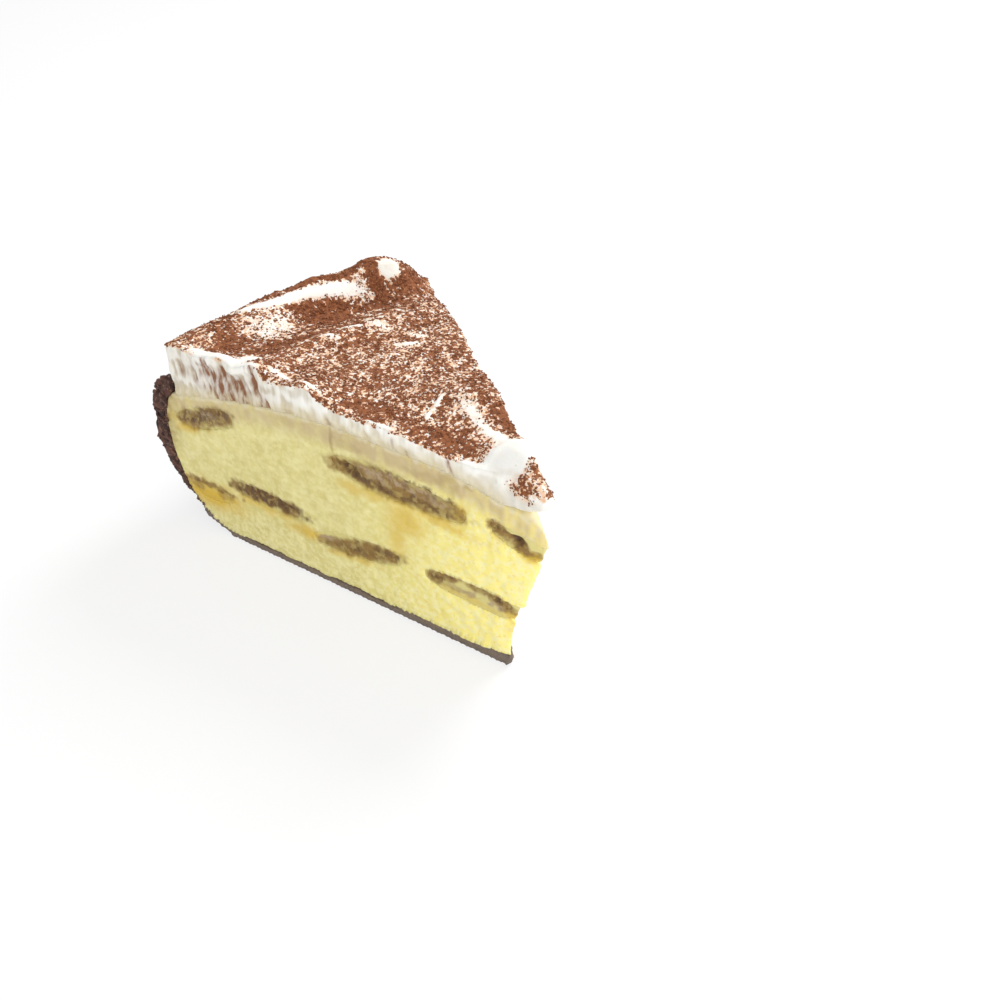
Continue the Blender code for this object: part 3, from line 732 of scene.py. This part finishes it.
swirl = lumps(np.stack([radius / 2.2, flat[:, 1] / 14, 0 * height], axis=1), MM, 5.0)
small = lumps(points, 1.1 * MM, 3.0)
bare_ridge = np.clip(0.6 - cover, 0, 0.6) / 0.6
lift = 0.22 * MM * swirl + 0.14 * MM * small * slope(cover, 0.2, 0.6) + 0.5 * MM * bare_ridge * upward
lift *= slope(-height, -71.9 * MM, -70.5 * MM)
for x, y, reach, rise in RIM_BUMPS:
    lift += rise * MM * bell(flat[:, 0] - x * MM, reach * MM) * bell(flat[:, 1] - y * MM, reach * MM)
points[:, 2] += lift * upward
# The wall that was against the tin is a little lumpy.
outer_wall = slope(radius, 126 * MM, 129 * MM) * slope(-np.abs(normals[:, 2]), -0.7, -0.3)
points = points + normals * (outer_wall * 0.6 * MM * lumps(points, 4.5 * MM, 18.0))[:, None]
ragged = 1.3 * MM + 0.8 * MM * np.clip(ridge, -1, 1.2)
sunk = np.where(np.minimum(behind_near, behind_far) < 2.5 * MM, ragged, 0.6 * MM)
points[:, 2] -= downward * slope(radius, 8 * MM, 14 * MM) * sunk
points[:, 2] = np.minimum(points[:, 2], CREAM_HIGHEST)
move_to(cream, points)

# Cocoa that has come over the edge: on a curl, between the cut's ridges, and on the tip.
spilled = bell(along_near - 90.3 * MM, 2.3 * MM) * bell(height - 68.5 * MM, 2.6 * MM) * near_face
over_edge = 0.8 * near_face * slope(-under_edge, -2.0 * MM, -0.3 * MM) * slope(ridge_near, 0.05, 0.3)
spilled = np.maximum(spilled, over_edge * (1 - lip_here))
on_tip = 0.80 * bell(along_near - 6 * MM, 5.5 * MM) * bell(height - 63.5 * MM, 3.2 * MM)
spilled = np.maximum(spilled, on_tip * (behind_near < 4 * MM))
cocoa_cover = np.maximum(cover * slope(normals[:, 2], -0.05, 0.45) * (1 - lip), 0.8 * spilled)
mark(cream, "cocoa", cocoa_cover)
streaky = np.clip(0.75 + 0.9 * ridge_fine + 0.5 * clotted, 0.25, 1.3)
mark(cream, "dragged", np.clip(1.9 * dragged * near_face * streaky, 0, 1))
far_streaks = slope(lumps(np.stack([along_far / 2.6, height / 30, 0 * height], axis=1), MM, 4.5), 0.15, 0.5)
mark(cream, "far_dragged", 0.6 * far_streaks * far_face * slope(-height, -66 * MM, -60 * MM))
face = np.clip(near_face + far_face, 0, 1) * (1 - lip)
# Painted shade: the grooves between the cut's ridges, the near side of the tip and the bare oval on the top are
# coloured beige-grey; part of the beige along the near cut is the cream's own tone.
tip_shade = 0.45 * slope(-along_near, -26 * MM, -12 * MM) * slope(-height, -64 * MM, -60 * MM)
shaded_grooves_and_beige = slope(ridge, -0.15, 0.45) * (0.55 + 0.45 * slope(along_near, 75 * MM, 95 * MM))
shaded_grooves_and_beige += 0.30 * slope(along_near, 70 * MM, 95 * MM)
shaded_oval = bell(flat[:, 0] + 118.4 * MM, 4 * MM) * bell(flat[:, 1] - 29.9 * MM, 4 * MM) * upward
mark(cream, "groove_shade_and_beige", np.maximum(face * np.maximum(np.clip(shaded_grooves_and_beige, 0, 1), tip_shade), 0.45 * shaded_oval))
near_cheese = slope(cheese_top - height + 0.9 * MM * ridge, -5.4 * MM, 0.4 * MM)
mark(cream, "cheesy", face * near_cheese * slope(radius, 8 * MM, 14 * MM))

CREAM = (0.860, 0.850, 0.800)
CREAM_GROOVE_SHADE_AND_BEIGE = (0.520, 0.450, 0.335)
CREAM_PEACH = (0.780, 0.470, 0.270)
CHEESY_CREAM = (0.610, 0.520, 0.310)
COCOA = (0.278, 0.096, 0.034)
COCOA_DARK = (0.165, 0.052, 0.020)
DRAG = (0.225, 0.090, 0.038)

cream_finish = Finish("whipped_cream", 0.5)
# Painted shade in the grooves, on the tip and on the oval, blended with the cream's beige tone.
toned = cream_finish.blend(cream_finish.sum("MULTIPLY", cream_finish.marked("groove_shade_and_beige"), 0.85), CREAM, CREAM_GROOVE_SHADE_AND_BEIGE)
toned = cream_finish.blend(cream_finish.sum("MULTIPLY", cream_finish.marked("cheesy"), 0.85), toned, CHEESY_CREAM)
drag_mask = cream_finish.sum("ADD", cream_finish.marked("dragged"), cream_finish.marked("far_dragged"))
drag_grain = cream_finish.contrast(cream_finish.speckle(1.4 * MM, 4, (1, 1, 0.3)), 0.3, 0.62, 0.25, 1.1)
toned = cream_finish.blend(cream_finish.sum("MULTIPLY", drag_mask, drag_grain), toned, DRAG)
peachy = cream_finish.sum("MULTIPLY", cream_finish.contrast(cream_finish.speckle(1.1 * MM, 2), 0.34, 0.56), 0.9)
peachy = cream_finish.sum("MULTIPLY", peachy, cream_finish.contrast(cream_finish.marked("cocoa"), 0.15, 0.6))
toned = cream_finish.blend(peachy, toned, CREAM_PEACH)
fine_grain = cream_finish.sum("MULTIPLY", cream_finish.speckle(0.80 * MM, 2.0), 0.60)
grain = cream_finish.sum("MULTIPLY_ADD", cream_finish.speckle(1.7 * MM, 1.0), 0.40, fine_grain)
threshold = cream_finish.contrast(cream_finish.marked("cocoa"), 0.0, 1.0, 0.72, 0.34)
dust = cream_finish.contrast(cream_finish.sum("SUBTRACT", grain, threshold), -0.03, 0.035)
dust = cream_finish.sum("MULTIPLY", dust, cream_finish.contrast(cream_finish.marked("cocoa"), 0.02, 0.12))
brown = cream_finish.blend(cream_finish.contrast(cream_finish.speckle(1.0 * MM, 2), 0.4, 0.62), COCOA, COCOA_DARK)
cream_finish.colour(cream_finish.blend(dust, toned, brown))
cream_finish.roughness(cream_finish.contrast(dust, 0.0, 1.0, 0.5, 0.9))
cream_finish.bump(grain, 0.25 * MM, 0.5)
cream_finish.glow(0.12, 2 * MM)
wear(cream, cream_finish)
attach(cream, "root")
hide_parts("whipped_cream")

# ---- Cocoa ----
# Cocoa powder shaken over the cream through a coarse sieve. It lies in small soft clumps, thick in the hollows and
# thin on the ridges, and a few clumps have fallen on the cuts.
CLUMPS = 7800
COCOA_THIN = 0.2
rng = np.random.default_rng(4)


def clump_shape():
    """One small rounded lump, twenty faces."""
    bpy.ops.object.select_all(action="DESELECT")
    bpy.ops.mesh.primitive_ico_sphere_add(subdivisions=1, radius=1.0)
    lump = bpy.context.active_object
    corners = points_of(lump)
    faces = np.array([list(face.vertices) for face in lump.data.polygons])
    bpy.data.objects.remove(lump)
    return corners, faces


def scattered(name, spots, normals, sizes, flatness):
    """One mesh of many lumps, each turned its own way and pressed flat onto the surface under it."""
    corners, faces = clump_shape()
    count, each = len(spots), len(corners)
    shapes = corners[None] * rng.uniform(0.7, 1.3, (count, each, 1)) * rng.uniform(0.75, 1.25, (count, 1, 3))
    turns = rng.normal(size=(count, 3, 3))
    turns = np.linalg.qr(turns)[0]
    shapes = np.einsum("nij,nkj->nki", turns, shapes) * sizes[:, None, None]
    out = np.einsum("nki,ni->nk", shapes, normals)
    shapes -= (out * (1 - flatness))[:, :, None] * normals[:, None, :]
    all_points = (shapes + spots[:, None, :]).reshape(-1, 3)
    all_points = inside_cad(all_points)
    all_faces = (faces[None] + (np.arange(count) * each)[:, None, None]).reshape(-1, 3)
    mesh = bpy.data.meshes.new(name)
    mesh.from_pydata(all_points.tolist(), [], all_faces.tolist())
    piece = bpy.data.objects.new(name, mesh)
    bpy.context.scene.collection.objects.link(piece)
    bpy.context.view_layer.objects.active = piece
    piece.select_set(True)
    bpy.ops.object.mode_set(mode="EDIT")
    bpy.ops.mesh.select_all(action="SELECT")
    bpy.ops.mesh.normals_make_consistent(inside=False)
    bpy.ops.object.mode_set(mode="OBJECT")
    return piece


points, normals = points_of(cream), normals_of(cream)
patchy = lumps(points, 1.6 * MM, 21.0) + 0.5 * lumps(points, 4.0 * MM, 22.0)
chance = np.clip(cocoa_cover - COCOA_THIN, 0, None) * slope(patchy, -0.35, 0.45)
chosen = rng.choice(len(points), CLUMPS, replace=False, p=chance / chance.sum())
sizes = rng.uniform(0.15, 0.38, CLUMPS) * MM * (0.8 + 0.4 * cocoa_cover[chosen])
spots = points[chosen] + rng.normal(0, 0.12 * MM, (CLUMPS, 3)) + normals[chosen] * 0.02 * MM
spots[:, 2] = np.minimum(spots[:, 2], CREAM_HIGHEST)
cocoa = scattered("cocoa_clumps", spots, normals[chosen], sizes, 0.6)

cocoa_finish = Finish("cocoa", 0.9)
cocoa_finish.colour(
    cocoa_finish.blend(cocoa_finish.contrast(cocoa_finish.speckle(1.2 * MM, 2), 0.38, 0.62), COCOA, COCOA_DARK)
)
cocoa_finish.bump(cocoa_finish.speckle(0.3 * MM, 2), 0.1 * MM, 0.5)
wear(cocoa, cocoa_finish)
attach(cocoa, "root")

# ---- Loose crumbs ----
# Crumbs that the knife broke off the crust. They cling to its outside, its top edge and the cheese next to it.
CRUMBS = 520
points, normals = points_of(crust), normals_of(crust)
_, _, behind_near, _ = cut_places(points)
radius = distance_out(points)
outside = (radius > 124 * MM) & (points[:, 2] > 6 * MM)
chance = outside * (0.25 + 1.5 * slope(points[:, 2], 44 * MM, 52 * MM) + 1.2 * slope(-behind_near, -2 * MM, 0))
chosen = rng.choice(len(points), CRUMBS, replace=False, p=chance / chance.sum())
sizes = rng.uniform(0.45, 1.15, CRUMBS) * MM
spots = points[chosen] - normals[chosen] * 0.25 * sizes[:, None]
crumb_bits = scattered("crust_crumbs", spots, normals[chosen], sizes, 0.8)
corner_count = len(crumb_bits.data.vertices)
mark(crumb_bits, "stand", np.full(corner_count, 0.8))
mark(crumb_bits, "shade", np.repeat(rng.uniform(0.2, 1.0, CRUMBS), corner_count // CRUMBS))
mark(crumb_bits, "greyed_low", np.zeros(corner_count))
wear(crumb_bits, crumb_finish)
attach(crumb_bits, "root")

# ---- Floor, light and camera ----
# A plain white table in soft daylight: a window behind the slice, and weaker light from its tip and its near side.
bpy.ops.object.select_all(action="DESELECT")
bpy.ops.mesh.primitive_plane_add(size=6, location=(0, 0, -0.02 * MM))
floor = bpy.context.active_object
floor.name = "floor"
paper = Finish("floor_white", 0.9)
paper.colour((0.86, 0.86, 0.86))
paper.shader.inputs["Specular IOR Level"].default_value = 0
wear(floor, paper)
shine = paper.tree.nodes.new("ShaderNodeEmission")
shine.inputs["Color"].default_value = (1, 1, 1, 1)
path = paper.tree.nodes.new("ShaderNodeLightPath")
mixed = paper.tree.nodes.new("ShaderNodeMixShader")
OVEREXPOSED = 0.72
paper.fill(mixed.inputs["Fac"], paper.sum("MULTIPLY", path.outputs["Is Camera Ray"], OVEREXPOSED))
paper.fill(mixed.inputs[1], paper.shader.outputs["BSDF"])
paper.fill(mixed.inputs[2], shine.outputs["Emission"])
paper.fill(paper.tree.nodes["Material Output"].inputs["Surface"], mixed.outputs["Shader"])

scene = bpy.context.scene
scene.view_settings.view_transform = "Standard"
world = bpy.data.worlds.new("soft_white")
scene.world = world
world.use_nodes = True
backdrop = world.node_tree.nodes["Background"]
backdrop.inputs["Color"].default_value = (1, 1, 1, 1)
backdrop.inputs["Strength"].default_value = 0.66


def lamp(name, place, aim, size, watts):
    light = bpy.data.lights.new(name, "AREA")
    light.size = size
    light.energy = watts
    made = bpy.data.objects.new(name, light)
    made.location = place
    made.rotation_euler = (Vector(aim) - Vector(place)).to_track_quat("-Z", "Y").to_euler()
    scene.collection.objects.link(made)


lamp("window", (-0.15, 0.75, 0.75), (0, 0, 0.04), 0.5, 9.0)
lamp("side", (0.75, -0.10, 0.30), (0.03, 0, 0.03), 0.5, 2.0)
lamp("fill", (0.55, -0.75, 0.55), (0, 0, 0.03), 0.8, 2.2)

camera = bpy.data.objects.new("camera", bpy.data.cameras.new("camera"))
camera.location = (0.2338, -0.1348, 0.226)
LOOKING_DOWN, LOOKING_ROUND = math.radians(90 - 37.6), math.radians(53.5)
camera.rotation_euler = (LOOKING_DOWN, 0, LOOKING_ROUND)
camera.data.sensor_width = 36
camera.data.lens = 39.6
camera.data.clip_start = 0.01
scene.collection.objects.link(camera)
scene.camera = camera
